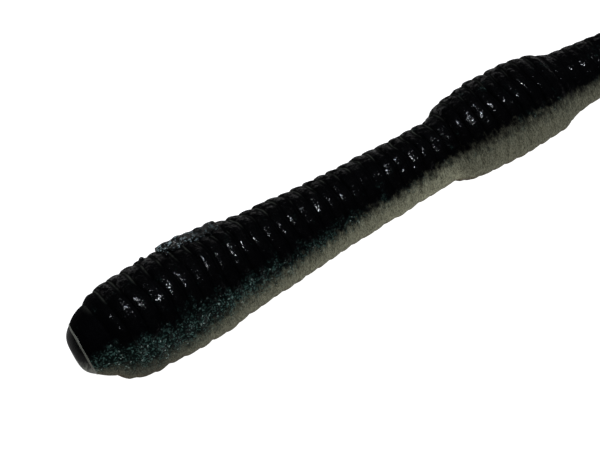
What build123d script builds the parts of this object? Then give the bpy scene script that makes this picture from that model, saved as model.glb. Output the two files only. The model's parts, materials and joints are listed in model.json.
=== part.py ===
"""Soft plastic fishing worm, 178 mm long: blunt head, ringed body, raised collar, tapering tail.

The worm lies along +X with its nose at the -X end and its belly on z = 0. The origin is the centre
of its footprint. Sizes are millimetres, and a distance called x is measured from the nose tip.

The real worm bends anywhere. Here it is divided at the bottoms of ring grooves into stations. Each
station ends in a ball that sits in a cup of the next one, and the pivot is the ball's centre, so the
worm can turn there sideways or up and down.
"""

from build123d import *
import os
from math import atan2, cos, degrees, exp, pi, radians, sin, sqrt

import numpy as np

# ---- overall sizes -------------------------------------------------------------------------------
LENGTH = 178.0
BELLY_FLAT = 0.1  # how far the soft ring crests flatten where they lie on a table

# Radius over the ring crests at stated distances from the nose tip.
CREST_X = (3.85, 5.6, 7.4, 9.1, 11.0, 13.5, 17.6, 22.6, 27.5, 32.5, 37.5, 42.4, 43.8)
CREST_R = (4.6, 5.05, 5.25, 5.28, 5.3, 5.24, 4.9, 4.45, 4.06, 3.75, 3.57, 3.38, 3.38)
COLLAR_X = (45.15, 46.5, 47.9, 50.7, 53.4, 54.8, 56.1)
COLLAR_R = (3.98, 4.38, 4.53, 4.62, 4.5, 4.38, 4.12)
TAIL_X = (57.5, 58.9, 95.0, 172.0, LENGTH)
TAIL_R = (3.5, 3.3, 3.05, 1.75, 1.6)
GROOVE_SHARE = 0.06  # a groove's depth as a share of the radius there

# Height of the body's axis above the table where the body bridges a gap: the neck hangs between the
# head and the collar, and the tail comes down to the table some way behind the collar.
BRIDGE_X = (0.0, 14.0, 38.0, 50.0, 60.0, 95.0, LENGTH)
BRIDGE_Z = (5.2, 5.1, 4.25, 4.4, 4.1, 2.9, 1.0)

# ---- rings ---------------------------------------------------------------------------------------
FIRST_RING = 3.85  # x of ring 0
RING_PITCH = 1.37  # spacing of the rings along most of the body
HEAD_STRETCH = 3.0  # extra length that the wider head rings add in all
STRETCH_RINGS = 6.5  # the extra spacing dies away over this many rings

# ---- nose and tip --------------------------------------------------------------------------------
GATE_DEPTH = 1.12  # height of the shallow dome left where the sprue was trimmed
GATE_RADIUS = 2.75
NOSE_SHOULDER = 3.85  # radius where the smooth nose cone meets ring 0
NOSE_BULGE = 0.15  # how far the nose cone's outline bows out from a straight line
TIP_RADIUS = 1.62

# ---- ball-and-cup divisions ----------------------------------------------------------------------
BALL_INSET = 0.45  # the ball is this much smaller than the groove's radius
CUP_CLEARANCE = 0.12
EDGE_CLEARANCE = 0.18  # what is left between two stations at the end of the bend

# Stations from nose to tail: name, number of rings, and the bend allowed at the division behind it.
HEAD_RINGS = 5
FORE_RINGS = (4, 4, 4, 4, 4, 3)
COLLAR_RINGS = 3
TAIL_STATIONS, TAIL_RINGS = 17, 5
TIP_RINGS = 2
FORE_BEND, TAIL_BEND = 12.0, 20.0

STATIONS = [("head", HEAD_RINGS, FORE_BEND)]
STATIONS += [(f"fore_body_{i + 1}", n, FORE_BEND) for i, n in enumerate(FORE_RINGS)]
STATIONS += [(f"collar_{place}", COLLAR_RINGS, FORE_BEND) for place in ("front", "middle")]
STATIONS += [("collar_rear", COLLAR_RINGS, TAIL_BEND)]
STATIONS += [(f"tail_{i + 1:02d}", TAIL_RINGS, TAIL_BEND) for i in range(TAIL_STATIONS)]
STATIONS += [("tail_tip", TIP_RINGS, 0.0)]

# ---- moulding flash on the flank behind the head -------------------------------------------------
FLASH_ANGLE = 48.0  # degrees above the horizontal on the +Y side
FLASH_PROUD = 0.42  # how far it stands out of the ring crests
FLASH_BURIED = 0.1  # the lumps' centres lie this far below the ring crests
# Lumps of the strip: x, half-length along the body, half-width round it, share of the full height.
FLASH_LUMPS = (
    (13.2, 0.8, 0.8, 0.8),
    (14.2, 0.95, 1.05, 1.0),
    (15.5, 1.0, 0.85, 0.9),
    (16.7, 0.85, 0.7, 0.75),
)
BEAD_X, BEAD_RADIUS, BEAD_ANGLE = 10.5, 0.32, 42.0


def ring_x(ring):
    """x of a ring's crest, or of the groove between two rings for a half number."""
    return FIRST_RING + RING_PITCH * ring + HEAD_STRETCH * (1 - exp(-ring / STRETCH_RINGS))


def crest_radius(x):
    """Radius over the ring crests."""
    return float(np.interp(x, CREST_X + COLLAR_X + TAIL_X, CREST_R + COLLAR_R + TAIL_R))


def groove_radius(x):
    """Radius at the bottom of a groove."""
    return (1 - GROOVE_SHARE) * crest_radius(x)


def axis_height(x):
    """Height of the body's axis: on the table, or bridging above it."""
    resting = crest_radius(x) - BELLY_FLAT
    return max(resting, float(np.interp(x, BRIDGE_X, BRIDGE_Z)))


def axis_point(x):
    """The point of the body's axis at x, in the model's frame."""
    return Vector(x - LENGTH / 2, 0, axis_height(x))


def ring_outline(ring, x_from, x_to):
    """One rounded ring between two x values, as an arc through three points of a parabola."""
    middle, left, right = ring_x(ring), ring_x(ring - 0.5), ring_x(ring + 0.5)

    def radius(x):
        groove, reach = (left, middle - left) if x < middle else (right, right - middle)
        drop = crest_radius(middle) - groove_radius(groove)
        return crest_radius(middle) - drop * ((x - middle) / reach) ** 2

    points = [(x, radius(x)) for x in (x_from, (x_from + x_to) / 2, x_to)]
    return ThreePointArc(*points)


def division(x, bend):
    """Ball radius, cup radius and half-width of the open channel at a division."""
    ball = groove_radius(x) - BALL_INSET
    half_channel = (groove_radius(x) * radians(bend) + EDGE_CLEARANCE) / 2
    return ball, ball + CUP_CLEARANCE, half_channel


def sphere_arc(centre_x, radius, offset):
    """Outline of a ball or cup from its rim, at an offset from the centre, to its far point."""
    start = atan2(sqrt(radius**2 - offset**2), offset)
    turn = [(centre_x + radius * cos(a), radius * sin(a)) for a in (start, start / 2)]
    return ThreePointArc(*turn, (centre_x + radius, 0))


def nose_outline():
    """The smooth cone from the gate's rim to ring 0."""
    end_x = ring_x(-0.5)
    middle = ((GATE_DEPTH + end_x) / 2, (GATE_RADIUS + NOSE_SHOULDER) / 2 + NOSE_BULGE)
    return [
        Line((GATE_DEPTH, 0), (GATE_DEPTH, GATE_RADIUS)),
        ThreePointArc((GATE_DEPTH, GATE_RADIUS), middle, (end_x, NOSE_SHOULDER)),
        Line((end_x, NOSE_SHOULDER), (end_x, groove_radius(end_x))),
    ]


def tip_outline(x):
    """The rounded end of the tail, from the last groove at x."""
    centre = LENGTH - TIP_RADIUS
    return [
        Line((x, groove_radius(x)), (centre, TIP_RADIUS)),
        ThreePointArc(
            (centre, TIP_RADIUS),
            (centre + TIP_RADIUS * cos(pi / 4), TIP_RADIUS * sin(pi / 4)),
            (LENGTH, 0),
        ),
    ]


def station_outline(first_ring, rings, bend_before, bend_after):
    """Closed half-outline of a station, x along the body and y as the radius."""
    x_front, x_rear = ring_x(first_ring - 0.5), ring_x(first_ring + rings - 0.5)
    outline, x = [], x_front
    if bend_before is None:
        outline += nose_outline()
    else:
        _, cup, half = division(x_front, bend_before)
        x = x_front + half
        front = ring_outline(first_ring, x, ring_x(first_ring + 0.5))
        outline += [sphere_arc(x_front, cup, half), Line((x, sqrt(cup**2 - half**2)), front @ 0)]
    half = division(x_rear, bend_after)[2] if bend_after else 0.0
    for ring in range(first_ring, first_ring + rings):
        x_end = ring_x(ring + 0.5) if ring < first_ring + rings - 1 else x_rear - half
        outline.append(ring_outline(ring, x, x_end))
        x = x_end
    if bend_after:
        ball = division(x_rear, bend_after)[0]
        outline.append(Line(outline[-1] @ 1, (x, sqrt(ball**2 - half**2))))
        outline.append(sphere_arc(x_rear, ball, -half))
    else:
        outline += tip_outline(x_rear)
    return outline


def on_axis(solid, x_from, x_to):
    """Turns a solid revolved about the X axis onto the straight axis between two x values."""
    start, end = axis_point(x_from), axis_point(x_to)
    slope = degrees(atan2(end.Z - start.Z, x_to - x_from))
    return Pos(*start) * Rot(0, -slope, 0) * Pos(-x_from, 0, 0) * solid


def revolved(outline):
    """The solid that a half-outline makes when it turns round the X axis."""
    ends = [edge @ t for edge in outline for t in (0, 1) if abs((edge @ t).Y) < 1e-9]
    low, high = min(p.X for p in ends), max(p.X for p in ends)
    face = make_face(Wire([*outline, Line((low, 0), (high, 0))]).edges())
    return revolve(face, Axis.X)


def on_table(solid):
    """Cuts off what would lie below the table."""
    box = solid.bounding_box()
    below = Pos(box.center().X, 0, -LENGTH / 2) * Box(2 * LENGTH, LENGTH, LENGTH)
    return solid - below if box.min.Z < 0 else solid


def flank_place(x, angle, proud):
    """A frame on the +Y flank, with Z outwards and its origin proud of the ring crests."""
    out = crest_radius(x) + proud
    centre = axis_point(x) + Vector(0, out * cos(radians(angle)), out * sin(radians(angle)))
    return Pos(*centre) * Rot(angle - 90, 0, 0)


def flash_strip():
    """A ragged row of lumps of flash, joined into one strip."""
    lumps = []
    for x, half_length, half_width, share in FLASH_LUMPS:
        height = FLASH_BURIED + FLASH_PROUD * share
        lump = scale(Sphere(1), by=(half_length, half_width, height))
        lumps.append(flank_place(x, FLASH_ANGLE, -FLASH_BURIED) * lump)
    return lumps[0].fuse(*lumps[1:])


def gate_dome():
    """The shallow dome on the nose."""
    big = (GATE_RADIUS**2 + GATE_DEPTH**2) / (2 * GATE_DEPTH)
    half_angle = atan2(GATE_RADIUS, big - GATE_DEPTH) / 2
    middle = (big * (1 - cos(half_angle)), big * sin(half_angle))
    outline = [
        ThreePointArc((0, 0), middle, (GATE_DEPTH, GATE_RADIUS)),
        Line((GATE_DEPTH, GATE_RADIUS), (GATE_DEPTH, 0)),
    ]
    return revolved(outline)


def build():
    """All the solids by name, and the pivots between the stations."""
    solids, pivots = {}, []
    ring, bend_before, x_from = 0, None, 0.0
    for name, rings, bend_after in STATIONS:
        outline = station_outline(ring, rings, bend_before, bend_after)
        ring += rings
        x_to = ring_x(ring - 0.5) if bend_after else LENGTH
        solids[name] = on_table(on_axis(revolved(outline), x_from, x_to))
        if bend_after:
            pivots.append((name, axis_point(x_to), bend_after))
        bend_before, x_from = bend_after, x_to
    first_pivot = ring_x(HEAD_RINGS - 0.5)
    solids["gate_scar"] = on_axis(gate_dome(), 0.0, first_pivot)
    solids["flash_strip"] = flash_strip() - solids["fore_body_1"]
    bead = flank_place(BEAD_X, BEAD_ANGLE, 0) * Sphere(BEAD_RADIUS)
    solids["flash_bead"] = bead - solids["head"]
    return solids, pivots


SOLIDS, PIVOTS = build()

os.makedirs("parts", exist_ok=True)
for node, solid in SOLIDS.items():
    solid.label = node
    export_step(solid, f"parts/{node}.step")

for name, pivot, bend in PIVOTS:
    print(f"pivot behind {name}: {pivot.X:.3f} {pivot.Y:.3f} {pivot.Z:.3f}, bend {bend:g} degrees")
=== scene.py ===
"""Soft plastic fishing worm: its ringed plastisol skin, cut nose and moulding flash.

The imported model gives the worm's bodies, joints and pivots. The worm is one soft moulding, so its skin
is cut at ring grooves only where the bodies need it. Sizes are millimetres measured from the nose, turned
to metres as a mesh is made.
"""

import json
import logging
from dataclasses import dataclass, field
from enum import Enum
from functools import partial
from math import cos, radians, sin
from typing import Any

import bpy
import numpy as np
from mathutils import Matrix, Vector


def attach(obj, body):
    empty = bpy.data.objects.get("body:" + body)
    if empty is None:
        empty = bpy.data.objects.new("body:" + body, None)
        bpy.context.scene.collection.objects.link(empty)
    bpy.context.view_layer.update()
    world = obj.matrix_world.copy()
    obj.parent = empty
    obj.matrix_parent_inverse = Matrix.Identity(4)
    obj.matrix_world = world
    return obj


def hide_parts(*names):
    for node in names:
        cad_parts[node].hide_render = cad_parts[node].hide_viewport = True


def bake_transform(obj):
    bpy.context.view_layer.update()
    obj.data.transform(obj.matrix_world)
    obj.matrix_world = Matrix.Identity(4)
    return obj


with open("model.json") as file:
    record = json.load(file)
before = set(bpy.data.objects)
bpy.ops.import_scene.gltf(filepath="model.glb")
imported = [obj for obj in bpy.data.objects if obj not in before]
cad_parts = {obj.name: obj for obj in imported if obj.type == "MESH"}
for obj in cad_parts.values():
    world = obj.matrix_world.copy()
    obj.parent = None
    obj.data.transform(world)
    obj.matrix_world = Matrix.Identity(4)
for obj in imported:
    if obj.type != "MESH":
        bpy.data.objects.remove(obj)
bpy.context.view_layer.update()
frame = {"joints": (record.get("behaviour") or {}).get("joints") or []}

LOG = logging.getLogger("worm")
MM = 0.001
NOISE_ROUGHNESS = 0.6  # how strong a noise's finer layers are

Array = np.ndarray
Span = tuple[float, float]  # where a change starts and where it ends
Table = tuple[Span, ...]  # (place, value) pairs in order of place


class Slot(Enum):
    """The record's material slots."""

    BODY = "black_plastisol"
    CUT = "cut_plastisol"
    FLASH = "flash_plastisol"


# ---- helpers ----


def linear(hex_colour: str) -> tuple[float, float, float, float]:
    """Turns an sRGB hex colour into the linear colour that shaders use.

    Args:
        hex_colour: six hex digits, such as "1A2B3C".

    Returns:
        Linear red, green, blue and an alpha of one.
    """
    shares = [int(hex_colour[i : i + 2], 16) / 255 for i in (0, 2, 4)]
    return (*(s / 12.92 if s <= 0.04045 else ((s + 0.055) / 1.055) ** 2.4 for s in shares), 1.0)


def smoothstep(low: float, high: float, value: Array) -> Array:
    """Rises from 0 at low to 1 at high with level ends: 3t^2 - 2t^3."""
    share = np.clip((value - low) / (high - low), 0.0, 1.0)
    return share * share * (3 - 2 * share)


def smooth_curve(x: Array, points: Table | Array) -> Array:
    """Cubic curve through points, each with the slope between its two neighbours.

    Args:
        x: where the curve is wanted.
        points: (x, value) pairs in order of x.

    Returns:
        The curve's values. Beyond the end points it keeps the end values.
    """
    knots, values = np.asarray(points, float).T
    slopes = np.gradient(values, knots)
    x = np.clip(x, knots[0], knots[-1])
    left = np.clip(np.searchsorted(knots, x, side="right") - 1, 0, len(knots) - 2)
    span = knots[left + 1] - knots[left]
    t = (x - knots[left]) / span
    start = (1 + 2 * t) * (1 - t) ** 2 * values[left] + t * (1 - t) ** 2 * span * slopes[left]
    end = t * t * (3 - 2 * t) * values[left + 1] - t * t * (1 - t) * span * slopes[left + 1]
    return start + end


def heading(azimuth: float, elevation: float) -> Vector:
    """Unit vector from the worm towards a place at an azimuth and elevation in degrees."""
    az, el = radians(azimuth), radians(elevation)
    return Vector((sin(az) * cos(el), -cos(az) * cos(el), sin(el)))


@dataclass(frozen=True)
class Ripples:
    """A seeded field of gentle bumps over rings and angle, made of sine waves that close round the body.

    Its value is the sum of waves sin(turns * angle + rate * ring + phase), scaled to a stated spread.
    """

    seed: int
    spread: float  # standard deviation of the field
    turns: tuple[int, int]  # waves round the body, from and up to
    rates: Span  # phase gained per ring along the body, from and up to
    waves: int = 28

    def __call__(self, ring: Array, angle: Array) -> Array:
        """Works out the field.

        Args:
            ring: ring numbers, which may be fractions.
            angle: angles round the body in radians, of a shape that goes with ring.

        Returns:
            The field's values.
        """
        random = np.random.default_rng(self.seed)
        turns = random.integers(self.turns[0], self.turns[1] + 1, self.waves)
        signs = random.choice((-1.0, 1.0), self.waves)
        rates = random.uniform(*self.rates, self.waves) * signs
        phases = random.uniform(0, 2 * np.pi, self.waves)
        total = np.zeros(np.broadcast(ring, angle).shape)
        for turn, rate, phase in zip(turns, rates, phases):
            total += np.sin(turn * angle + rate * ring + phase)
        return total * self.spread / np.sqrt(self.waves / 2)


# ---- meshes ----


def full_turn(columns: int) -> Array:
    """Angles once round a loop, one by columns, from zero."""
    return np.linspace(0, 2 * np.pi, columns, endpoint=False)[None, :]


def placed(name: str, data: bpy.types.ID) -> bpy.types.Object:
    """Puts data into the scene.

    Args:
        name: the object's name.
        data: its mesh, light or camera.

    Returns:
        The new object.
    """
    item = bpy.data.objects.new(name, data)
    bpy.context.scene.collection.objects.link(item)
    return item


def tube_mesh(name: str, rows: Array, sharp: tuple[bool, bool] = (False, False)) -> bpy.types.Object:
    """Makes a closed mesh from rings of points carried along a path.

    Neighbouring rows are joined by quads, the last column to the first, and the first and last rows are
    each closed by a fan round the middle point of the row.

    Args:
        name: the piece's name.
        rows: points in millimetres, as rows by columns by three. Columns turn from +Y towards +Z.
        sharp: whether the first and the last row are sharp edges.

    Returns:
        The new object, in metres.
    """
    count, around = rows.shape[:2]
    points = np.vstack([rows.reshape(-1, 3), rows[0].mean(0), rows[-1].mean(0)]) * MM
    index = np.arange(count * around).reshape(count, around)
    following = np.roll(index, -1, axis=1)
    quads = np.stack([index[:-1], following[:-1], following[1:], index[1:]], axis=-1).reshape(-1, 4)
    front = np.stack([np.full(around, index.size), following[0], index[0]], axis=-1)
    rear = np.stack([np.full(around, index.size + 1), index[-1], following[-1]], axis=-1)
    mesh = bpy.data.meshes.new(name)
    mesh.from_pydata(points.tolist(), [], quads.tolist() + front.tolist() + rear.tolist())
    mesh.polygons.foreach_set("use_smooth", np.ones(len(mesh.polygons), bool))
    ends = np.empty(len(mesh.edges) * 2, int)
    mesh.edges.foreach_get("vertices", ends)
    ends = ends.reshape(-1, 2)
    first = (ends < around).all(axis=1) & sharp[0]
    last = ((ends >= (count - 1) * around) & (ends < index.size)).all(axis=1) & sharp[1]
    mesh.edges.foreach_set("use_edge_sharp", first | last)
    mesh.update()
    return placed(name, mesh)


def store(piece: bpy.types.Object, name: str, values: Array) -> None:
    """Stores one number per point of a tube mesh; its two middle points take the mean of their rows.

    Args:
        piece: an object from tube_mesh.
        name: the attribute's name.
        values: rows by columns.
    """
    full = np.concatenate([values.ravel(), [values[0].mean(), values[-1].mean()]])
    attribute = piece.data.attributes.new(name, "FLOAT", "POINT")
    attribute.data.foreach_set("value", full.astype(np.float32))


# ---- the worm's shape ----


@dataclass(frozen=True)
class Rings:
    """Where the rings lie along the body. Grooves are at the half numbers."""

    first: float = 3.85
    pitch: float = 1.37
    head_stretch: float = 3.0  # extra length that the wider head rings add in all
    stretch_rings: float = 6.5  # the extra spacing dies away over this many rings

    def place(self, ring: Array | float) -> Array:
        """Distance of a ring's crest from the nose."""
        extra = self.head_stretch * (1 - np.exp(-np.asarray(ring) / self.stretch_rings))
        return self.first + self.pitch * np.asarray(ring) + extra


@dataclass(frozen=True)
class Station:
    """One rigid length of the worm in the motion model."""

    name: str
    first_ring: int
    rings: int

    @property
    def middle_groove(self) -> float:
        """Number of the groove nearest the station's middle, where one skin ends and the next begins."""
        return self.first_ring + self.rings // 2 - 0.5


def stations() -> list[Station]:
    """All stations from nose to tail, with the ring counts that the moulding is divided into."""
    counts = [("head", 5)]
    counts += [(f"fore_body_{i + 1}", rings) for i, rings in enumerate((4, 4, 4, 4, 4, 3))]
    counts += [(f"collar_{place}", 3) for place in ("front", "middle", "rear")]
    counts += [(f"tail_{i + 1:02d}", 5) for i in range(17)]
    counts += [("tail_tip", 2)]
    firsts = np.cumsum([0] + [rings for _, rings in counts])
    return [Station(name, int(first), rings) for (name, rings), first in zip(counts, firsts)]


@dataclass(frozen=True)
class WormShape:
    """The whole worm's outer surface, as a function of ring number and angle round the body."""

    length: float = 178.0
    crest: Table = (
        (3.85, 4.6), (5.6, 5.05), (7.4, 5.25), (9.1, 5.28), (11, 5.28), (13.5, 5.24), (17.6, 4.9),
        (22.6, 4.45), (27.5, 4.06), (32.5, 3.75), (37.5, 3.57), (42.4, 3.38), (43.8, 3.38),
        (45.15, 3.98), (46.5, 4.38), (47.9, 4.53), (50.7, 4.62), (53.4, 4.5), (54.8, 4.38),
        (56.1, 4.12), (57.5, 3.5), (58.9, 3.3), (95, 3.05), (172, 1.75), (178, 1.6),
    )  # distance from the nose, radius over the ring crests
    nose_height: float = 5.2  # of the body's axis above the table
    tip_height: float = 1.5
    sway: Table = (
        (0, 0.2), (2.9, 0.2), (4, 0.02), (6.5, -0.15), (9.5, -0.2), (12, -0.2), (14.5, -0.15),
        (18, -0.04), (27, 0), (33, 0.1), (40, 0.14), (55, 0.12), (60, -0.06), (66, -0.1),
        (80, 0), (178, 0),
    )  # distance from the nose, how far the moulding stands towards +Y there
    groove_share: float = 0.052  # a groove's depth as a share of the radius there
    tail_share: float = 0.55  # behind the collar the grooves are this much as deep
    tail_start: float = 57.5
    flank_share: float = 0.5  # low on the flanks the grooves are this much as deep
    flank_rise: Span = (-0.2, 0.5)  # and reach their full depth over this sine of the angle
    crest_lean: float = 0.35  # the crest stands this share of half a ring nearer the nose
    front_power: float = 3.2  # how full the ring is on its steep side towards the nose
    rear_power: float = 1.9  # and on its long side towards the tail
    groove_round: float = 0.07  # rounding at a groove's bottom, as a share of half a ring
    cut_end: float = 1.2  # the nose was cut askew: its rings lean fully up to here
    cut_fade: float = 3.4  # and not at all from here
    cut_side: float = 0.127  # lean of the cut, as a slope towards +Y
    cut_down: float = 0.257  # and down
    lip_place: float = 43.7  # low on the flanks the collar starts with a small lip
    lip_height: float = 0.2
    lip_rise: float = 0.22  # the lip rises over this distance
    lip_fade: float = 3.2  # and dies away over this one
    lip_top: Span = (0.1, 0.65)  # upwards it dies away over this sine of the angle
    calm_nose: Span = (1.2, 4.0)  # the rings' wander grows over this distance from the nose
    calm_tip: Span = (5.0, 1.5)  # and dies away over this distance from the tip
    rings: Rings = field(default_factory=Rings)
    wander: Ripples = Ripples(seed=11, spread=0.09, turns=(1, 6), rates=(0.15, 0.9))
    swell: Ripples = Ripples(seed=12, spread=0.032, turns=(0, 4), rates=(0.6, 2.6))
    lumps: Ripples = Ripples(seed=13, spread=0.016, turns=(9, 26), rates=(1.5, 6.0), waves=64)
    depth: Ripples = Ripples(seed=14, spread=0.2, turns=(1, 9), rates=(0.5, 2.2))

    def axis_height(self, x: Array) -> Array:
        """Height of the body's axis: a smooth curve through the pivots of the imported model."""
        half = self.length / 2
        pivots = {tuple(joint["pos_m"]) for joint in frame["joints"]}
        through = sorted((p[0] / MM + half, p[2] / MM) for p in pivots)
        nose, tip = (0.0, self.nose_height), (self.length, self.tip_height)
        return smooth_curve(x, np.array([nose, *through, tip]))

    def crest_radius(self, x: Array) -> Array:
        """Radius over the ring crests."""
        return smooth_curve(x, self.crest)

    def lobe(self, ring: Array) -> Array:
        """How far down the side of its ring a point is: 0 on the crest and about 1 in the groove.

        The crest leans towards the nose, as on a row of scales. On each side the outline falls with a
        power of the distance from the crest, as a share of the distance to the groove. That share is
        softened beside the groove with a square root of squares, so that the groove's bottom is round.
        """
        place = 2 * (ring - np.floor(ring + 0.5 + 1e-9))
        past = place + self.crest_lean
        share = np.where(past < 0, -past / (1 - self.crest_lean), past / (1 + self.crest_lean))
        softened = 1 + self.groove_round**2 / 2 - np.sqrt((1 - share) ** 2 + self.groove_round**2)
        return np.clip(softened, 0, 1) ** np.where(past < 0, self.front_power, self.rear_power)

    def collar_lip(self, x: Array, angle: Array) -> Array:
        """Extra radius of the lip at the collar's front edge, on the lower flanks only."""
        past = x - self.lip_place
        rise = smoothstep(0, self.lip_rise, past) * (1 - smoothstep(self.lip_rise, self.lip_fade, past))
        low = 1 - smoothstep(*self.lip_top, np.sin(angle))
        return self.lip_height * rise * low

    def fade(self, x: Array) -> Array:
        """Keeps the cut nose and the tail's tip free of wander: 0 at both ends and 1 between."""
        start, end = (self.length - distance for distance in self.calm_tip)
        return smoothstep(*self.calm_nose, x) * (1 - smoothstep(start, end, x))

    def surface(self, x: Array, radius: Array, ring: Array, angle: Array) -> Array:
        """Places points round the axis.

        Each point stands at its radius and angle from the axis, which sways a little to either side.
        It moves along the body by a small wander so that the rings waver, and near the nose by the
        lean of the cut, which grows with the distance from the axis. Points that would be under the
        table are pressed flat on it.

        Args:
            x: distance from the nose, rows by one.
            radius: distance from the axis, rows by columns.
            ring: ring number, rows by one.
            angle: angle from +Y towards +Z, one by columns.

        Returns:
            Points in millimetres, rows by columns by three.
        """
        across, up = radius * np.cos(angle), radius * np.sin(angle)
        askew = 1 - smoothstep(self.cut_end, self.cut_fade, x)
        lean = (self.cut_side * across - self.cut_down * up) * askew
        along = x + self.wander(ring, angle) * self.fade(x) + lean - self.length / 2
        across = across + smooth_curve(x, self.sway)
        height = np.maximum(self.axis_height(x) + up, 0.0)
        return np.stack([along, across, height], axis=-1)

    def skin_radius(self, x: Array, ring: Array, angle: Array) -> Array:
        """Radius of the ringed skin: crest less groove, with swellings, lumps and the collar's lip."""
        share = self.flank_share + (1 - self.flank_share) * smoothstep(*self.flank_rise, np.sin(angle))
        behind = smoothstep(self.tail_start - 1, self.tail_start + 1, x)
        share = share * (1 + (self.tail_share - 1) * behind)
        groove = self.groove_share * share * self.lobe(ring) * (1 + self.depth(ring, angle))
        rough = (self.swell(ring, angle) + self.lumps(ring, angle)) * self.fade(x)
        return self.crest_radius(x) * (1 - groove) + rough + self.collar_lip(x, angle)


@dataclass(frozen=True)
class SkinMarks:
    """Where the moulding's colour changes, by height on the flank: 1 is the top line and -1 the keel.

    The plastisol was poured in a dark layer over a paler olive one, but the olive strip low on the flank
    is also painted reflection of the lit table, and its brown keel is painted shade. The strip's edge climbs
    from the head to the collar. Teal flake is drawn in a band just above it near the head, where light shows
    it, so that band is partly painted light; pale painted highlights lie in the far side's grooves.
    from the head to the collar, and teal flake settled in a band just above it near the head.
    """

    roll: float = 14.0  # degrees; the worm lies rolled a little, with its -Y flank up
    olive_edge: Table = (
        (0, -0.1), (6.8, -0.18), (10.9, -0.15), (16, 0), (21, 0.05), (27.4, 0.1), (33.6, 0.2),
        (39.8, 0.23), (46, 0.34), (54, 0.31), (59, 0.26), (178, 0.26),
    )  # distance from the nose, height share
    olive_tone: Table = (
        (0, 0.2), (6.8, 0.15), (10.9, 0.4), (16, 0.52), (21, 0.57), (27, 0.69), (34, 0.77),
        (39.8, 0.92), (43.4, 0.92), (44.1, 0.55), (50, 0.5), (54, 0.52), (59, 0.44), (178, 0.44),
    )  # how pale the olive strip is, partly painted reflection of the lit table; it is palest on the neck, up to the collar's lip
    teal_amount: Table = (
        (0, 1), (16, 1), (24, 0.8), (34, 0.5), (60, 0.35), (178, 0.3),
    )  # distance from the nose, how much flake is drawn; most near the head, where light shows it on the flank
    teal_top: float = 0.74  # the band fades out at this height
    teal_soft: float = 0.5  # over this much height
    groove_light_side: Span = (0.2, 0.55)  # painted highlight in the grooves, standing for light caught by the groove edges; it lies on the +Y side, by the cosine of the angle
    groove_light_nose: Span = (2.6, 3.6)  # it starts over this distance from the nose
    groove_light_collar: Span = (42.0, 46.0)  # and thins over this one
    groove_light_loss: float = 0.6  # by this share
    film_nose: Span = (3.6, 6.0)  # the film starts over this distance
    keel_edge: Span = (-0.8, -0.3)  # the painted shade at the keel, under the worm, ends over this height

    def dress(self, piece: bpy.types.Object, shape: WormShape, x: Array, ring: Array, angle: Array) -> None:
        """Stores the colour marks on a skin.

        Args:
            piece: the skin.
            shape: gives the groove pattern.
            x: distance from the nose, rows by one.
            ring: ring number, rows by one.
            angle: angle round the body, one by columns.
        """
        height = np.sin(angle + radians(self.roll)) + 0 * x
        edge = np.interp(x, *np.array(self.olive_edge).T)
        teal = np.interp(x, *np.array(self.teal_amount).T)
        # olive strip: partly a paler pour, partly painted reflection of the lit table on the lower flank
        store(piece, "olive", edge - height)
        store(piece, "tone", np.interp(x, *np.array(self.olive_tone).T) + 0 * angle)
        # the teal band is flake drawn only low on the flank, where light shows it: partly painted light
        above = smoothstep(self.teal_top - self.teal_soft, self.teal_top, height)
        store(piece, "teal", teal * (1 - above))
        store(piece, "groove", shape.lobe(ring) + 0 * angle)
        # painted highlight in the grooves on the +Y side, strongest from the nose to the collar
        groove_light_reach = smoothstep(*self.groove_light_nose, x) * (1 - self.groove_light_loss * smoothstep(*self.groove_light_collar, x))
        store(piece, "painted_groove_light", smoothstep(*self.groove_light_side, np.cos(angle)) * groove_light_reach)
        store(piece, "film", smoothstep(*self.film_nose, x) + 0 * angle)
        # painted shade: the keel darkens the olive to brown under the worm
        store(piece, "keel", 1 - smoothstep(*self.keel_edge, height))


# ---- materials ----

PLUS = {"operation": "ADD"}
TIMES = {"operation": "MULTIPLY"}
SPREAD = {"operation": "MULTIPLY_ADD"}
SMOOTH = {"interpolation_type": "SMOOTHSTEP"}
BLEND = {"data_type": "RGBA", "out": 2}


def add_node(
    tree: bpy.types.NodeTree, kind: str, *values: Any, inputs: Any = (), out: int | str = 0, **settings: Any
) -> Any:
    """Adds a node, sets its properties, fills or links its inputs, and gives one of its outputs.

    Args:
        tree: the node tree.
        kind: the node's type name without "ShaderNode".
        values: values or output sockets for its first inputs, in order.
        inputs: more of them by input name or number.
        out: name or number of the output that is wanted.
        settings: properties of the node.

    Returns:
        The output socket, or None where the node has none.
    """
    node = tree.nodes.new("ShaderNode" + kind)
    for name, value in settings.items():
        setattr(node, name, value)
    for key, value in [*enumerate(values), *dict(inputs).items()]:
        if isinstance(value, bpy.types.NodeSocket):
            tree.links.new(value, node.inputs[key])
        else:
            node.inputs[key].default_value = value
    return node.outputs[out] if node.outputs else None


def cloudy(width: float, detail: float) -> dict[str, float]:
    """Inputs of a noise whose features have a width in mm, with a number of finer layers."""
    return {"Scale": 1 / width, "Detail": detail, "Roughness": NOISE_ROUGHNESS}


class Nodes:
    """A material's nodes, with the place on the worm in mm and the numbers stored on its mesh."""

    def __init__(self, name: str, *marks: str) -> None:
        """Starts a material.

        Args:
            name: the material's name.
            marks: names of the stored numbers that it reads.
        """
        self.material = bpy.data.materials.new(name)
        self.material.use_nodes = True
        self.material.node_tree.nodes.clear()
        self.add = partial(add_node, self.material.node_tree)
        place = self.add("TexCoord", out="Object")
        self.place = self.add("VectorMath", place, inputs={"Scale": 1 / MM}, operation="SCALE")
        self.marks = {mark: self.add("Attribute", out="Fac", attribute_name=mark) for mark in marks}

    def finish(self, inputs: dict[str, Any]) -> bpy.types.Material:
        """Ends the tree with a Principled shader that has these inputs, and gives the material."""
        self.add("OutputMaterial", self.add("BsdfPrincipled", inputs=inputs))
        return self.material


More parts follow.
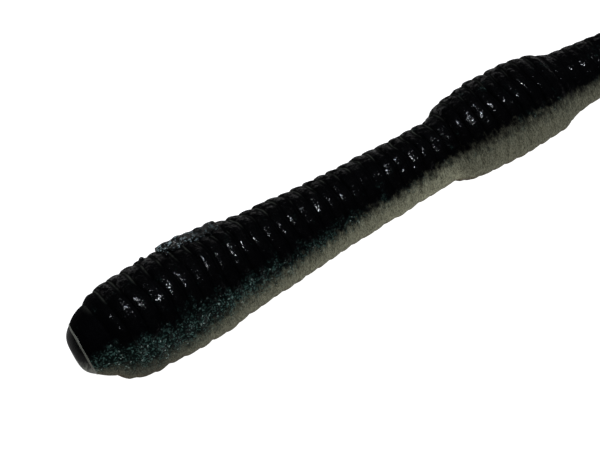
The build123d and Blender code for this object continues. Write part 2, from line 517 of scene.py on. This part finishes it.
@dataclass(frozen=True)
class MouldedPlastisol:
    """Poured PVC plastisol straight from the mould, with an oily plasticiser film in patches.

    The bare skin is matt and deep black. The film is a clear coat that gives small sharp glints, which
    the mould's fine grain breaks into blotches. Round the flanks the skin is finely scratched round
    the body and teal flake shows as specks, drawn only low on the flank where light shows it, with a few
    pale flakes as painted glints. Below them the paler olive pour shows through, its paleness partly
    painted reflection of the lit table, with painted shade at the keel and painted highlights in the far
    side's grooves.
    """

    name: str = "moulded_black_plastisol"
    black: str = "010102"
    teal: str = "405A54"
    deep_teal: str = "081210"
    dark_olive: str = "30302A"
    pale_olive: str = "898974"
    # painted shade: brown that stands for the shade under the worm
    painted_underside_shade: str = "4A4234"
    painted_groove_light: str = "82867A"  # painted highlight: pale lines in the groove bottoms on the far side, standing for light caught by the groove edges
    # painted highlight: colour of the few flakes drawn as glints
    painted_flake_glint: str = "93A39D"
    ior: float = 1.09  # far below vinyl's 1.5: light is lost in the fine grain of the bare skin
    roughness: float = 0.7
    film_ior: float = 1.45
    film_roughness: float = 0.1
    film: float = 0.7  # width of the film's patches
    film_patch: Span = (0.42, 0.54)  # the patches' edges, on the patches' noise
    film_grain: Span = (0.43, 0.55)  # where the grain breaks them, on the grain's noise
    film_least: float = 0.05  # share of the film that is left there
    film_groove: Span = (0.2, 0.6)  # it ends over this share of the way down a groove
    film_olive: Span = (-0.4, 0.0)  # and over this height above the olive strip
    grain: float = 0.14  # width of the mould's grain
    grain_height: float = 0.03
    pebble: float = 0.5  # width of the larger unevenness
    pebble_height: float = 0.1
    fleck: float = 0.15  # width of the teal flakes, drawn a little coarse so that they show
    cloud: float = 1.3  # width of the patches that the flake gathered in
    cloud_spread: float = 1.8  # how unevenly it gathered
    band: Span = (0.15, 1.1)  # amount of flake at the band's edge and where it is full
    speck: Span = (0.5, 1.0)  # numbers of the flakes that show as specks
    bright: Span = (0.975, 1.0)  # and of the few drawn pale as painted glints
    groove_light_power: float = 9.0  # keeps the painted highlight to the bottom of the groove
    groove_light_patch: Span = (0.35, 0.6)
    ragged: float = 0.5  # width of the olive strip's ragged edge pattern
    ragged_spread: float = 0.6
    hair_spread: float = 0.16  # how far the scratches drag that edge
    olive_blend: Span = (-0.29, 0.26)  # the strip's soft edge, as height
    scratch: Span = (0.38, 0.62)  # the scratches' noise, from dark to pale
    scratch_shade: Span = (0.5, 1.55)  # how dark and pale they make the olive
    scratch_top: Span = (-0.5, 0.1)  # their relief starts over this height above the strip
    hairline: float = 0.11  # width of the fine scratches
    hairline_height: float = 0.02

    def colour(self, nodes: Nodes, hairs: Any) -> Any:
        """Works out the colour: black, then teal specks and painted flake glints, then painted highlights in
        the grooves, then the olive strip with its painted reflection and painted shade at the keel.

        Args:
            nodes: the material's nodes.
            hairs: the scratches' noise.

        Returns:
            The output socket.
        """
        add, marks = nodes.add, nodes.marks
        squeezed = add("VectorMath", nodes.place, (1, 1 / 1.5, 1 / 1.5), **TIMES)
        clouds = add("TexNoise", squeezed, inputs=cloudy(self.cloud, 3.0))
        drift = add("Math", clouds, self.cloud_spread, -self.cloud_spread / 2, **SPREAD)
        # teal flake band: the flake is real, its place low on the flank is painted light
        band = add("MapRange", add("Math", marks["teal"], drift, **PLUS), *self.band, **SMOOTH)
        cells = add("TexVoronoi", nodes.place, inputs={"Scale": 1 / self.fleck}, out="Color", feature="F1")
        flakes = add("SeparateXYZ", cells)
        specks = add("Math", band, add("MapRange", flakes, *self.speck, **SMOOTH), **TIMES)
        # painted glints: the few brightest flakes drawn pale
        glints = add("Math", band, add("MapRange", flakes, *self.bright, **SMOOTH), **TIMES)
        # painted highlight: pale lines in the groove bottoms on the far side
        painted_groove_light = add("Math", marks["groove"], self.groove_light_power, operation="POWER")
        painted_groove_light = add("Math", painted_groove_light, add("MapRange", clouds, *self.groove_light_patch, **SMOOTH), **TIMES)
        painted_groove_light = add("Math", painted_groove_light, marks["painted_groove_light"], **TIMES)
        squeezed = add("VectorMath", nodes.place, (1, 1 / 1.4, 1 / 1.4), **TIMES)
        ragged = add("TexNoise", squeezed, inputs=cloudy(self.ragged, 3.0))
        # olive strip: partly a paler pour, partly painted reflection of the lit table
        olive = marks["olive"]
        for noise, spread in ((ragged, self.ragged_spread), (hairs, self.hair_spread)):
            olive = add("Math", olive, add("Math", noise, spread, -spread / 2, **SPREAD), **PLUS)
        olive = add("MapRange", olive, *self.olive_blend, **SMOOTH)
        pale = linear(self.dark_olive)
        # the keel's brown is painted shade
        for share, over in ((marks["tone"], self.pale_olive), (marks["keel"], self.painted_underside_shade)):
            pale = add("Mix", inputs={0: share, 6: pale, 7: linear(over)}, **BLEND)
        lines = add("MapRange", hairs, *self.scratch, *self.scratch_shade, **SMOOTH)
        pale = add("VectorMath", pale, inputs={"Scale": lines}, operation="SCALE")
        shares = band, specks, glints, painted_groove_light
        colour = linear(self.black)
        for share, over in zip(shares, (self.deep_teal, self.teal, self.painted_flake_glint, self.painted_groove_light)):
            colour = add("Mix", inputs={0: share, 6: colour, 7: linear(over)}, **BLEND)
        return add("Mix", inputs={0: olive, 6: colour, 7: pale}, **BLEND)

    def relief(self, nodes: Nodes, hairs: Any) -> Any:
        """Works out the fine relief: grain and pebbles, and scratches lower down.

        Args:
            nodes: the material's nodes.
            hairs: the scratches' noise.

        Returns:
            The output socket of the normal.
        """
        add = nodes.add
        low = add("MapRange", nodes.marks["olive"], *self.scratch_top, **SMOOTH)
        height = add("Math", add("Math", hairs, low, **TIMES), self.hairline_height, **TIMES)
        for width, size in ((self.grain, self.grain_height), (self.pebble, self.pebble_height)):
            bumps = add("TexNoise", nodes.place, inputs=cloudy(width, 1.0))
            height = add("Math", bumps, size, height, **SPREAD)
        return add("Bump", inputs={"Height": height, "Distance": MM})

    def film_weight(self, nodes: Nodes) -> Any:
        """Works out the film: patches broken by the grain, only on the crests and above the olive.

        Args:
            nodes: the material's nodes.

        Returns:
            The output socket.
        """
        add, marks = nodes.add, nodes.marks
        patches = add("TexNoise", nodes.place, inputs=cloudy(self.film, 3.0))
        grain = add("TexNoise", nodes.place, inputs=cloudy(self.grain, 2.0))
        shares = (
            add("MapRange", grain, *self.film_grain, self.film_least, 1.0, **SMOOTH),
            add("MapRange", marks["groove"], *self.film_groove, 1.0, 0.0, **SMOOTH),
            marks["film"],
            add("MapRange", marks["olive"], *self.film_olive, 1.0, 0.0, **SMOOTH),
        )
        film = add("MapRange", patches, *self.film_patch, **SMOOTH)
        for share in shares:
            film = add("Math", film, share, **TIMES)
        return film

    def build(self) -> bpy.types.Material:
        """Builds the material."""
        nodes = Nodes(self.name, "teal", "groove", "painted_groove_light", "olive", "tone", "keel", "film")
        squeezed = nodes.add("VectorMath", nodes.place, (1, 1 / 5, 1 / 5), **TIMES)
        scratchy = cloudy(self.hairline, 3.0) | {"Distortion": 2.0}
        hairs = nodes.add("TexNoise", squeezed, inputs=scratchy)
        normal = self.relief(nodes, hairs)
        inputs = {
            "Base Color": self.colour(nodes, hairs),
            "Roughness": self.roughness,
            "IOR": self.ior,
            "Normal": normal,
            "Coat Weight": self.film_weight(nodes),
            "Coat Roughness": self.film_roughness,
            "Coat IOR": self.film_ior,
            "Coat Normal": normal,
        }
        return nodes.finish(inputs)


@dataclass(frozen=True)
class CutPlastisol:
    """Plastisol where the sprue was cut: duller than the skin, with fine drag lines from the blade."""

    name: str = "knife_cut_plastisol"
    black: str = "0A0A0A"
    olive: str = "6E6F66"
    ior: float = 1.35
    roughness: Span = (0.24, 0.42)
    line: float = 0.12  # spacing of the drag lines
    line_height: float = 0.03
    line_spread: float = 0.6  # how far the lines drag the olive's edge
    olive_blend: Span = (-0.1, 0.5)  # the olive's soft edge, as height

    def build(self) -> bpy.types.Material:
        """Builds the material."""
        nodes = Nodes(self.name, "olive", "rim")
        add, marks = nodes.add, nodes.marks
        squeezed = add("VectorMath", nodes.place, (1 / 8, 1, 1 / 8), **TIMES)
        lines = add("TexNoise", squeezed, inputs=cloudy(self.line, 1.0))
        dragged = add("Math", lines, self.line_spread, -self.line_spread / 2, **SPREAD)
        # the paler lower face is partly painted reflection of the lit table, as on the skin
        low = add("MapRange", add("Math", marks["olive"], dragged, **PLUS), *self.olive_blend, **SMOOTH)
        share = add("Math", low, add("MapRange", lines, 0.3, 0.7, 0.2, 1.0, **SMOOTH), **TIMES)
        share = add("Math", share, marks["rim"], operation="MAXIMUM")
        height = add("Math", lines, self.line_height, **TIMES)
        colours = {0: share, 6: linear(self.black), 7: linear(self.olive)}
        inputs = {
            "Base Color": add("Mix", inputs=colours, **BLEND),
            "Roughness": add("MapRange", lines, 0.2, 0.8, *self.roughness, **SMOOTH),
            "IOR": self.ior,
            "Normal": add("Bump", inputs={"Height": height, "Distance": MM}),
        }
        return nodes.finish(inputs)


@dataclass(frozen=True)
class FlashPlastisol:
    """Thin plastisol that crept out of the mould's vent.

    It is beaded and slightly teal, with pale specks of painted highlight along its ridge, and glassy in
    patches.
    """

    name: str = "vent_flash_plastisol"
    black: str = "030404"
    teal: str = "101C1A"
    flash_glint_paint: str = "8C9DA0"  # painted highlight: pale specks standing for glints along the ridge
    ior: float = 1.16
    roughness: Span = (0.5, 0.7)
    bead: float = 0.3  # width of the beads
    bead_height: float = 0.35
    flash_glint_edge: Span = (0.54, 0.66)  # on the painted highlights' noise
    gloss: float = 0.4  # width of the glassy patches
    gloss_edge: Span = (0.44, 0.54)
    gloss_roughness: float = 0.1
    gloss_ior: float = 1.5

    def build(self) -> bpy.types.Material:
        """Builds the material."""
        nodes = Nodes(self.name, "painted_flash_glint")
        add = nodes.add
        beads, flash_glints, gloss = (
            add("TexNoise", nodes.place, inputs=cloudy(width, detail))
            for width, detail in ((self.bead, 2.0), (self.bead, 3.0), (self.gloss, 3.0))
        )
        height = add("Math", beads, self.bead_height, **TIMES)
        normal = add("Bump", inputs={"Height": height, "Distance": MM})
        # painted highlights on the flash's ridge
        flash_glints = add("MapRange", flash_glints, *self.flash_glint_edge, **SMOOTH)
        flash_glints = add("Math", flash_glints, nodes.marks["painted_flash_glint"], **TIMES)
        deep = add("MapRange", beads, 0.5, 0.8, **SMOOTH)
        colour = add("Mix", inputs={0: deep, 6: linear(self.black), 7: linear(self.teal)}, **BLEND)
        inputs = {
            "Base Color": add("Mix", inputs={0: flash_glints, 6: colour, 7: linear(self.flash_glint_paint)}, **BLEND),
            "Roughness": add("MapRange", beads, 0.3, 0.7, *self.roughness, **SMOOTH),
            "IOR": self.ior,
            "Normal": normal,
            "Coat Weight": add("MapRange", gloss, *self.gloss_edge, **SMOOTH),
            "Coat Roughness": self.gloss_roughness,
            "Coat IOR": self.gloss_ior,
            "Coat Normal": normal,
        }
        return nodes.finish(inputs)


# ---- sub-assemblies ----


@dataclass(frozen=True)
class Bend:
    """The window over which a skin turns from one body to the next."""

    front: str
    rear: str
    start: Vector
    end: Vector


@dataclass(frozen=True)
class RingedSkin:
    """The worm's skin: one length over each joint, from mid-station to mid-station."""

    shape: WormShape
    marks: SkinMarks
    rows_per_ring: int = 12
    crowding: float = 0.55  # how much closer together the rows lie beside the grooves
    columns: int = 144
    margin: float = 0.32  # the bend stays this far inside a length's ends, past the wander of its rings
    gate_depth: float = 1.12
    gate_radius: float = 2.7
    shoulder_radius: float = 3.85
    nose_bulge: float = 0.15
    nose_lumps: float = 0.6  # the cone is this much as lumpy as the rings
    nose_smooth: Span = (1.3, 1.8)  # and its lumps start over this distance from the nose
    end_rows: int = 14  # on the nose cone, and on the tip's quarter circle
    first_groove: float = 0.2  # the first ring starts this much further back than the others would
    first_crest: float = 0.15  # and rises gently up to this ring number
    tip_radius: float = 1.62

    @property
    def angles(self) -> Array:
        """Angles round the body, one by columns, starting at the keel."""
        return full_turn(self.columns) - np.pi / 2

    def ring_rows(self, first: float, last: float) -> Array:
        """Ring numbers of the rows between two grooves, closer together beside the grooves."""
        steps = np.arange(self.rows_per_ring) / self.rows_per_ring
        within = (1 - np.cos(np.pi * steps)) / 2
        spaced = self.crowding * within + (1 - self.crowding) * steps
        starts = np.arange(first, last)
        return np.append((starts[:, None] + spaced[None, :]).ravel(), last)

    def nose_rows(self) -> tuple[Array, Array]:
        """The smooth cone from the gate's rim to ring 0: a straight line bowed out by a parabola."""
        share = np.linspace(0.03, 1, self.end_rows)
        end = float(self.shape.rings.place(-0.5)) + self.first_groove - 0.06
        x = self.gate_depth + (end - self.gate_depth) * share
        radius = self.gate_radius + (self.shoulder_radius - self.gate_radius) * share
        return x, radius + self.nose_bulge * 4 * share * (1 - share)

    def tip_rows(self, start: float) -> tuple[Array, Array]:
        """The rounded end of the tail: a short straight run and then a quarter circle."""
        centre = self.shape.length - self.tip_radius
        straight = np.linspace(start + 0.1, centre, 5)
        turn = np.linspace(0, np.pi / 2, self.end_rows)[1:-1]
        x = np.append(straight, centre + self.tip_radius * np.sin(turn))
        radius = np.append(np.full(len(straight), self.tip_radius), self.tip_radius * np.cos(turn))
        return x, radius

    def build(self, name: str, first: float, last: float, nose: bool, tip: bool) -> bpy.types.Object:
        """Makes one length of skin.

        Args:
            name: the piece's name.
            first: groove it starts at.
            last: groove it ends at.
            nose: whether the nose cone is in front of it.
            tip: whether the tail's tip is behind it.

        Returns:
            The piece, with its colour marks.
        """
        shape, angle = self.shape, self.angles
        ring = self.ring_rows(first, last)[:, None]
        x = shape.rings.place(ring) + self.first_groove * np.clip(-2 * ring, 0, 1) ** 2
        radius = shape.skin_radius(x, ring, angle)
        if nose:
            nose_x, nose_radius = (values[:, None] for values in self.nose_rows())
            lumps = shape.lumps(nose_x / shape.rings.pitch, angle) * self.nose_lumps
            rise = smoothstep(first, self.first_crest, ring)
            radius = self.shoulder_radius + (radius - self.shoulder_radius) * rise
            radius = np.vstack([nose_radius + lumps * smoothstep(*self.nose_smooth, nose_x), radius])
            x = np.vstack([nose_x, x])
            ring = np.vstack([np.full_like(nose_x, -0.5), ring])
        if tip:
            tip_x, tip_radius = (values[:, None] for values in self.tip_rows(float(x[-1, 0])))
            radius = np.vstack([radius, tip_radius + 0 * angle])
            ring = np.vstack([ring, np.full_like(tip_x, last)])
            x = np.vstack([x, tip_x])
        piece = tube_mesh(name, shape.surface(x, radius, ring, angle), sharp=(True, not tip))
        self.marks.dress(piece, shape, x, ring, angle)
        return piece

    def window(self, front: Station, rear: Station) -> Bend:
        """The window in which the skin between two stations turns."""
        place = self.shape.rings.place
        half = self.shape.length / 2
        ends = (float(place(s.middle_groove)) - half for s in (front, rear))
        start, end = (Vector((x * MM, 0, 0)) for x in ends)
        inset = Vector((self.margin * MM, 0, 0))
        return Bend(front.name, rear.name, start + inset, end - inset)


@dataclass(frozen=True)
class GateScar:
    """The shallow dome at the nose where the sprue was cut off, with a raised rim."""

    shape: WormShape
    depth: float = 1.12
    radius: float = 2.7
    columns: int = 144
    middle: float = 0.06  # depth at the dome's middle, as a share
    dome_power: float = 3.8  # how flat the dome is
    dome_rows: int = 26
    rim_width: float = 0.34
    rim_height: float = 0.17
    rim_lean: float = 0.3  # radians that the rim's top leans back
    rim_rows: int = 12
    rim_tone: float = 0.9  # share of the cut's pale olive on the rim
    back_inset: float = 0.35
    roll: float = 14.0  # degrees, as the colours of the skin are rolled
    olive_edge: float = 0.35  # the olive's edge on the face, as height; the paler lower face is partly painted reflection of the lit table
    ragged_out: float = 0.5  # share of the wobble that widens the face
    ragged_along: float = 0.6  # and that dents it
    wobble: Ripples = Ripples(seed=21, spread=0.03, turns=(2, 9), rates=(0.4, 1.6), waves=16)

    def build(self) -> bpy.types.Object:
        """Makes the dome, its rounded rim, and a flat back inside the head.

        The dome's rows go out from its middle, and depth grows with a power of the radius. The rim's
        rows follow an arc of 216 degrees, and the last row turns in again behind it.
        """
        angle = full_turn(self.columns) - np.pi / 2
        out = np.linspace(0.02, 1, self.dome_rows)
        dome_x = self.depth * (self.middle + (1 - self.middle) * out**self.dome_power)
        turn = np.linspace(radians(-72), radians(144), self.rim_rows)
        rim_radius = self.radius + self.rim_height * np.cos(turn - self.rim_lean)
        rim_x = self.depth + 0.9 * self.rim_width * (1 + np.sin(turn)) / 2
        radius = np.concatenate([self.radius * out, rim_radius, [self.radius - self.back_inset]])[:, None]
        x = np.concatenate([dome_x, rim_x, [self.depth + self.rim_width]])[:, None]
        number = np.arange(len(x))[:, None]
        ragged = self.wobble(number / 8, angle) * smoothstep(0.3, 1.0, radius / self.radius)
        rows = self.shape.surface(x, radius + self.ragged_out * ragged, np.zeros_like(x), angle)
        rows[..., 0] += self.ragged_along * ragged
        piece = tube_mesh("cut_nose_face", rows, sharp=(False, True))
        store(piece, "rim", np.where(number < self.dome_rows, 0, self.rim_tone) + 0 * angle)
        height = np.sin(angle + radians(self.roll)) * radius / self.radius
        store(piece, "olive", self.olive_edge - height)
        return piece


@dataclass(frozen=True)
class VentFlash:
    """The ragged strip of flash on one shoulder, and the small bead in front of it."""

    shape: WormShape
    start: float = 12.25
    end: float = 19.1
    angle: float = 41.0  # degrees above the horizontal, on the +Y side
    rows_per_mm: int = 26
    columns: int = 128
    half_width: float = 1.5
    nose_fade: Span = (-0.02, 0.4)  # the strip grows to its full size over this distance
    tail_fade: Span = (-0.02, 0.35)  # and shrinks again over this one
    proud: float = 0.3
    fullness: float = 0.7  # power of the sine that rounds its top
    ridge: float = 0.22  # height of the knobbly ridge along it
    ridge_width: float = 0.55
    ridge_place: float = 0.05  # towards the worm's top, as a share of the half-width
    knob_limits: Span = (0.3, 1.6)  # least and most height of the knobs, as shares of the ridge's
    buried: float = 0.3
    flash_glint_fade: Span = (0.3, 0.7)  # the painted highlights thin over this share of the strip's length
    flash_glint_loss: float = 0.8
    flash_glint_side: Span = (-0.4, 0.1)  # and lies towards the worm's top, by the cosine across the strip
    bead_place: float = 10.5
    bead_radius: float = 0.3
    bead_sunk: float = 0.1
    bead_angle: float = 42.0
    rag: Ripples = Ripples(seed=31, spread=0.16, turns=(0, 3), rates=(2.0, 9.0), waves=24)
    beads: Ripples = Ripples(seed=32, spread=0.04, turns=(2, 8), rates=(1.5, 6.0), waves=40)
    knobs: Ripples = Ripples(seed=33, spread=0.25, turns=(0, 0), rates=(1.5, 6.0), waves=16)

    def strip(self, name: str, start: float, end: float) -> bpy.types.Object:
        """Makes a length of the strip.

        Its section is a flattened loop: across it, the half-width times a cosine, and upwards, the
        height times a sine plus a ridge shaped as a bell curve, with the lower half sunk in the skin.
        Width and height fade at the free ends, and seeded waves make the edge ragged, the ridge
        knobbly and the top beaded.

        Args:
            name: the piece's name.
            start: its front end, from the nose.
            end: its rear end.

        Returns:
            The piece.
        """
        x = np.linspace(start, end, int((end - start) * self.rows_per_mm))[:, None]
        loop = full_turn(self.columns)
        nose_end = smoothstep(*self.nose_fade, x - self.start)
        tail_end = smoothstep(*self.tail_fade, self.end - x)
        size = np.sqrt(np.clip(nose_end * tail_end, 0.004, 1))
        ragged = 1 + self.rag(x, loop)
        across = self.half_width * size * np.cos(loop) * ragged
        upper = np.maximum(np.sin(loop), 0) ** self.fullness
        lower = np.minimum(np.sin(loop), 0)
        bell = np.exp(-(((across - self.ridge_place * self.half_width) / self.ridge_width) ** 2))
        ridge = self.ridge * np.clip(1 + self.knobs(x, 0 * loop), *self.knob_limits) * bell * (upper > 0)
        height = size * (self.proud * upper + ridge + self.beads(x, loop) * upper) + self.buried * lower
        centre = self.shape.crest_radius(x) * (1 - self.shape.groove_share / 2)
        radius = centre + height
        angle = radians(self.angle) + across / centre
        along = x - self.shape.length / 2 + 0 * loop
        height = self.shape.axis_height(x) + radius * np.sin(angle)
        rows = np.stack([along, radius * np.cos(angle), height], axis=-1)
        piece = tube_mesh(name, rows[:, ::-1])
        share = (x - self.start) / (self.end - self.start)
        # painted highlights: they thin towards the rear and lie towards the worm's top
        painted_flash_glint = 1 - self.flash_glint_loss * smoothstep(*self.flash_glint_fade, share)
        store(piece, "painted_flash_glint", painted_flash_glint * smoothstep(*self.flash_glint_side, np.cos(loop))[:, ::-1])
        return piece

    def bead(self) -> bpy.types.Object:
        """Makes the bead: a sphere with seeded dents, half sunk in the skin."""
        down = np.linspace(0.05, np.pi - 0.05, 18)[:, None]
        loop = full_turn(28)
        radius = self.bead_radius * (1 + 0.8 * self.beads(down * 0.3, loop))
        out = self.shape.crest_radius(np.array([self.bead_place]))[0] - self.bead_sunk
        turn = radians(self.bead_angle)
        along = self.bead_place - self.shape.length / 2 - radius * np.cos(down)
        across = out * cos(turn) + radius * np.sin(down) * np.cos(loop)
        axis = self.shape.axis_height(np.array([self.bead_place]))[0]
        height = axis + out * sin(turn) + radius * np.sin(down) * np.sin(loop)
        return tube_mesh("flash_bead_skin", np.stack([along, across, height], axis=-1))


@dataclass(frozen=True)
class Worm:
    """The whole worm: skins, cut nose and flash, each in place of the imported parts that it hides."""

    shape: WormShape = field(default_factory=WormShape)
    marks: SkinMarks = field(default_factory=SkinMarks)

    def build(self) -> None:
        """Builds every piece, hides the imported parts that it replaces, and attaches the cut nose to the
        head.
        """
        skin = RingedSkin(self.shape, self.marks)
        plastisol = MouldedPlastisol().build()
        row = stations()
        bends = []
        for number, (front, rear) in enumerate(zip(row, row[1:])):
            first_piece, last_piece = number == 0, rear is row[-1]
            first = -0.5 if first_piece else front.middle_groove
            last = rear.first_ring + rear.rings - 0.5 if last_piece else rear.middle_groove
            name = f"{front.name}_to_{rear.name}_skin"
            piece = skin.build(name, first, last, nose=first_piece, tip=last_piece)
            bend = skin.window(front, rear)
            self.finish(piece, plastisol, Slot.BODY, bend)
            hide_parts(*([front.name, rear.name] if last_piece else [front.name]))
            bends.append(bend)
        nose = GateScar(self.shape).build()
        self.finish(nose, CutPlastisol().build(), Slot.CUT)
        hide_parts("gate_scar")
        self.flash(bends, row, FlashPlastisol().build())

    def finish(
        self, piece: bpy.types.Object, material: bpy.types.Material, slot: Slot, bend: Bend | None = None
    ) -> None:
        """Gives a piece its material, and either bakes its transform or attaches it to the head.

        Args:
            piece: the finished mesh.
            material: its material.
            slot: not used.
            bend: the window it would bend in, read only for whether there is one: with one its transform is
                baked, without one it moves with the head.
        """
        piece.data.materials.append(material)
        if bend:
            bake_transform(piece)
        else:
            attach(piece, "head")
        LOG.info("%s: %d faces", piece.name, len(piece.data.polygons))

    def flash(self, bends: list[Bend], row: list[Station], material: bpy.types.Material) -> None:
        """Builds the flash, divided where the skins under it are.

        Args:
            bends: the skins' bends, from the nose.
            row: the stations, from the nose.
            material: the flash's material.
        """
        flash = VentFlash(self.shape)
        joint = float(self.shape.rings.place(row[1].middle_groove))
        front = flash.strip("flash_strip_front", flash.start, joint)
        rear = flash.strip("flash_strip_rear", joint, flash.end)
        bead = flash.bead()
        for piece, bend in ((front, bends[0]), (rear, bends[1]), (bead, bends[0])):
            self.finish(piece, material, Slot.FLASH, bend)
        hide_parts("flash_strip")
        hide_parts("flash_bead")


# ---- studio ----


@dataclass(frozen=True)
class Studio:
    """A glowing white table, dim surroundings, a key light almost overhead, and the camera."""

    azimuth: float = -33.5
    elevation: float = 59.6
    view_width: float = 59.4  # millimetres across the picture at the worm
    lens: float = 500.0
    sensor: float = 36.0
    aim_place: float = 26.9  # distance of the picture's middle from the nose
    aim_lift: float = 0.5  # and how far above the axis it is, across the worm
    key_azimuth: float = 126.0
    key_elevation: float = 74.0
    key_strength: float = 2.4
    key_angle: float = 4.5  # degrees that the lamp covers in the sky; it sets the glints' size
    key_colour: str = "F2F7FF"
    floor_size: float = 24.0  # metres
    floor_glow: float = 1.1
    floor_dim: float = 0.25  # the sheet looks this bright in glossy reflections, to keep black plastic black
    floor_colour: str = "8C8C8C"
    horizon: float = 0.04  # brightness of the room near the horizon
    overhead: float = 0.01
    darkening: Span = (0.1, 0.36)  # from the one to the other over this sine of the elevation

    def floor(self) -> None:
        """Makes the light table: a white sheet that glows, so that shadows on it stay faint."""
        half = self.floor_size / 2
        corners = [(-half, -half, 0), (half, -half, 0), (half, half, 0), (-half, half, 0)]
        mesh = bpy.data.meshes.new("light_table")
        mesh.from_pydata(corners, [], [(0, 1, 2, 3)])
        table = placed("light_table", mesh)
        nodes = Nodes("white_light_table")
        inputs = {
            "Base Color": linear(self.floor_colour),
            "Roughness": 0.9,
            "Specular IOR Level": 0.0,
            "Emission Color": (1.0, 1.0, 1.0, 1.0),
            "Emission Strength": self.floor_glow,
        }
        bright = nodes.add("BsdfPrincipled", inputs=inputs)
        dim = nodes.add("Emission", inputs={"Strength": self.floor_dim})
        glossy = nodes.add("LightPath", out="Is Glossy Ray")
        nodes.add("OutputMaterial", nodes.add("MixShader", glossy, bright, dim))
        mesh.materials.append(nodes.material)

    def room(self) -> None:
        """Makes the surroundings: dim near the horizon and nearly black overhead."""
        world = bpy.data.worlds.new("studio")
        bpy.context.scene.world = world
        world.use_nodes = True
        world.node_tree.nodes.clear()
        add = partial(add_node, world.node_tree)
        height = add("SeparateXYZ", add("TexCoord", out="Generated"), out="Z")
        strength = add("MapRange", height, *self.darkening, self.horizon, self.overhead, **SMOOTH)
        add("OutputWorld", add("Background", (1, 1, 1, 1), strength))

    def key(self) -> None:
        """Adds the key light, far away and almost overhead."""
        light = bpy.data.lights.new("key_light", "SUN")
        light.energy = self.key_strength
        light.angle = radians(self.key_angle)
        light.color = linear(self.key_colour)[:3]
        lamp = placed("key_light", light)
        towards = heading(self.key_azimuth, self.key_elevation)
        lamp.location = towards
        lamp.rotation_euler = towards.to_track_quat("Z", "Y").to_euler()

    def camera(self, shape: WormShape) -> None:
        """Adds the camera, aimed at the fore body with a long lens.

        Args:
            shape: gives the height of the worm's axis at the aim.
        """
        towards = heading(self.azimuth, self.elevation)
        across = towards.cross(Vector((1, 0, 0))).normalized()
        height = float(shape.axis_height(np.array([self.aim_place]))[0])
        aim = Vector((self.aim_place - shape.length / 2, 0, height)) + across * self.aim_lift
        distance = self.view_width * self.lens / self.sensor
        data = bpy.data.cameras.new("camera")
        data.lens, data.sensor_width = self.lens, self.sensor
        camera = placed("camera", data)
        camera.location = (aim + towards * distance) * MM
        camera.rotation_euler = towards.to_track_quat("Z", "Y").to_euler()
        bpy.context.scene.camera = camera

    def build(self, shape: WormShape) -> None:
        """Builds the studio round the worm."""
        self.floor()
        self.room()
        self.key()
        self.camera(shape)
        bpy.context.scene.view_settings.view_transform = "Standard"


def main() -> None:
    """Builds the worm and the studio."""
    logging.basicConfig(level=logging.INFO, format="%(name)s: %(message)s")
    worm = Worm()
    worm.build()
    Studio().build(worm.shape)


if __name__ == "__main__":
    main()
